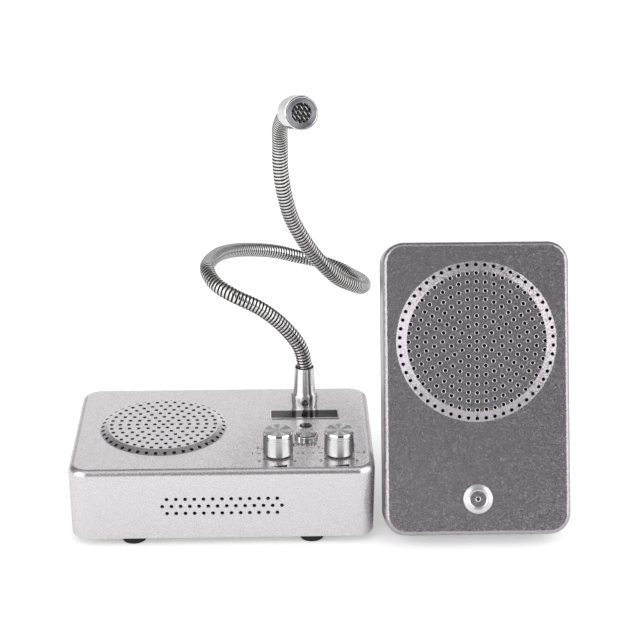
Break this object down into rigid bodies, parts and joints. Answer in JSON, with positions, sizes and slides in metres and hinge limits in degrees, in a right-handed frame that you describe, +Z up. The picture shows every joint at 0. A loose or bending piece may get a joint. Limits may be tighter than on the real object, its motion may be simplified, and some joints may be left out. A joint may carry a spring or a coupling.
{
  "type": "teller window intercom",
  "caption": "Counter intercom: desk unit with ribbed gooseneck microphone, volume knobs and power button, and a leaning outer unit with speaker grille, microphone and fold-out leg.",
  "frame": {"origin": "middle of the desk unit's footprint, on the counter under its feet", "axes": "+Z up, +X to the right seen from the clerk's side, +Y away from the viewer towards the window"},
  "size_m": [0.2535, 0.1814, 0.2335],
  "materials": {
    "silver_paint": "fine-grained warm silver lacquer on sheet steel",
    "dark_silver_paint": "sparkling darker silver lacquer on sheet steel",
    "zinc_plate": "zinc-plated steel",
    "screw_steel": "plated screw steel",
    "black_rubber": "matt black rubber",
    "basket_steel": "black pressed steel",
    "magnet_ferrite": "ferrite ring between steel plates",
    "cone_paper": "black treated paper",
    "grille_cloth": "black acoustic cloth",
    "circuit_board": "green laminate with soldered parts",
    "heatsink_aluminium": "extruded fins",
    "pot_metal": "nickel-plated",
    "spun_aluminium": "turned, with a spun face",
    "bright_chrome": "polished",
    "dark_steel": "dark turned steel",
    "black_plastic": "moulded black",
    "smoked_lens": "smoked, clear coated",
    "black_gloss": "piano black",
    "black_paint": "textured black lacquer on sheet steel",
    "ribbed_steel": "bright wound steel"
  },
  "bodies": {
    "desk_unit": {"desk_housing": "silver_paint", "desk_base_plate": "zinc_plate", "desk_feet": "black_rubber", "desk_base_screws": "screw_steel", "inner_speaker_basket": "basket_steel", "inner_speaker_magnet": "magnet_ferrite", "inner_speaker_cone": "cone_paper", "inner_speaker_clips": "screw_steel", "inner_grille_cloth": "grille_cloth", "main_circuit_board": "circuit_board", "amplifier_heatsink": "heatsink_aluminium", "board_screws": "screw_steel", "control_board": "circuit_board", "inner_volume_pot": "pot_metal", "outer_volume_pot": "pot_metal", "pot_nuts": "zinc_plate", "power_button_bezel": "bright_chrome", "power_switch_body": "black_plastic", "indicator_lens": "smoked_lens", "badge_plate": "black_gloss", "badge_rim": "bright_chrome", "power_inlet": "black_plastic", "audio_sockets": "black_plastic", "gooseneck_stud": "zinc_plate", "gooseneck_nut": "zinc_plate", "gooseneck_ferrule": "bright_chrome", "ferrule_grub_screw": "screw_steel", "gooseneck_link_1": "ribbed_steel"},
    "inner_knob": {"inner_pot_shaft": "pot_metal", "inner_volume_knob": "spun_aluminium"},
    "outer_knob": {"outer_pot_shaft": "pot_metal", "outer_volume_knob": "spun_aluminium"},
    "power_button": {"power_button_cap": "spun_aluminium"},
    "gooseneck_2": {"gooseneck_link_2": "ribbed_steel"},
    "gooseneck_3": {"gooseneck_link_3": "ribbed_steel"},
    "gooseneck_4": {"gooseneck_link_4": "ribbed_steel"},
    "gooseneck_5": {"gooseneck_link_5": "ribbed_steel"},
    "gooseneck_6": {"gooseneck_link_6": "ribbed_steel"},
    "gooseneck_7": {"gooseneck_link_7": "ribbed_steel"},
    "mic_arm": {"gooseneck_link_8": "ribbed_steel", "mic_rear_collar": "bright_chrome", "mic_head_barrel": "bright_chrome", "mic_head_bezel": "dark_steel", "mic_head_grille": "dark_steel", "mic_capsule": "black_plastic"},
    "outer_unit": {"outer_housing": "dark_silver_paint", "outer_back_cover": "black_paint", "outer_cover_screws": "screw_steel", "outer_speaker_basket": "basket_steel", "outer_speaker_magnet": "magnet_ferrite", "outer_speaker_cone": "cone_paper", "outer_speaker_clips": "screw_steel", "outer_grille_cloth": "grille_cloth", "outer_mic_bezel": "bright_chrome", "outer_mic_capsule": "black_plastic", "outer_board": "circuit_board", "outer_socket": "black_plastic", "outer_stand_pin": "zinc_plate"},
    "stand_leg": {"outer_stand_leg": "black_paint", "outer_leg_foot": "black_rubber"}
  },
  "joints": [
    {"name": "neck_bend_1", "type": "hinge", "parent": "desk_unit", "child": "gooseneck_2", "pos_m": [0.02, 0.02, 0.102], "axis": [0, 1, 0], "range_deg": [-10, 10]},
    {"name": "neck_bend_2", "type": "hinge", "parent": "gooseneck_2", "child": "gooseneck_3", "pos_m": [-0.007, 0.056, 0.115], "axis": [0, 0, 1], "range_deg": [-12, 12]},
    {"name": "neck_bend_3", "type": "hinge", "parent": "gooseneck_3", "child": "gooseneck_4", "pos_m": [0.029, 0.113, 0.099], "axis": [0.4061, -0.9138, 0], "range_deg": [-12, 12]},
    {"name": "neck_bend_4", "type": "hinge", "parent": "gooseneck_4", "child": "gooseneck_5", "pos_m": [0.072, 0.102, 0.088], "axis": [0, 0, 1], "range_deg": [-12, 12]},
    {"name": "neck_bend_5", "type": "hinge", "parent": "gooseneck_5", "child": "gooseneck_6", "pos_m": [0.07, 0.05, 0.103], "axis": [0.8, -0.6, 0], "range_deg": [-15, 15]},
    {"name": "neck_bend_6", "type": "hinge", "parent": "gooseneck_6", "child": "gooseneck_7", "pos_m": [0.042, 0.024, 0.14], "axis": [0, 1, 0], "range_deg": [-20, 20]},
    {"name": "neck_bend_7", "type": "hinge", "parent": "gooseneck_7", "child": "mic_arm", "pos_m": [0.031, 0.011, 0.184], "axis": [1, 0, 0], "range_deg": [-25, 25]},
    {"name": "inner_volume_turn", "type": "hinge", "parent": "desk_unit", "child": "inner_knob", "pos_m": [0.0285, -0.031, 0.05], "axis": [0, 0, 1], "range_deg": [-135, 135]},
    {"name": "outer_volume_turn", "type": "hinge", "parent": "desk_unit", "child": "outer_knob", "pos_m": [0.0597, -0.031, 0.05], "axis": [0, 0, 1], "range_deg": [-135, 135]},
    {"name": "power_press", "type": "slide", "parent": "desk_unit", "child": "power_button", "axis": [0, 0, -1], "range_m": [0, 0.0015], "stiffness_N_per_m": 600, "springref_m": -0.001},
    {"name": "outer_unit_lift", "type": "slide", "parent": "desk_unit", "child": "outer_unit", "axis": [0, 0, 1], "range_m": [0, 0.25]},
    {"name": "stand_leg_fold", "type": "hinge", "parent": "outer_unit", "child": "stand_leg", "pos_m": [0.129, 0.00418, 0.08639], "axis": [1, 0, 0], "range_deg": [-35, 0]}
  ]
}
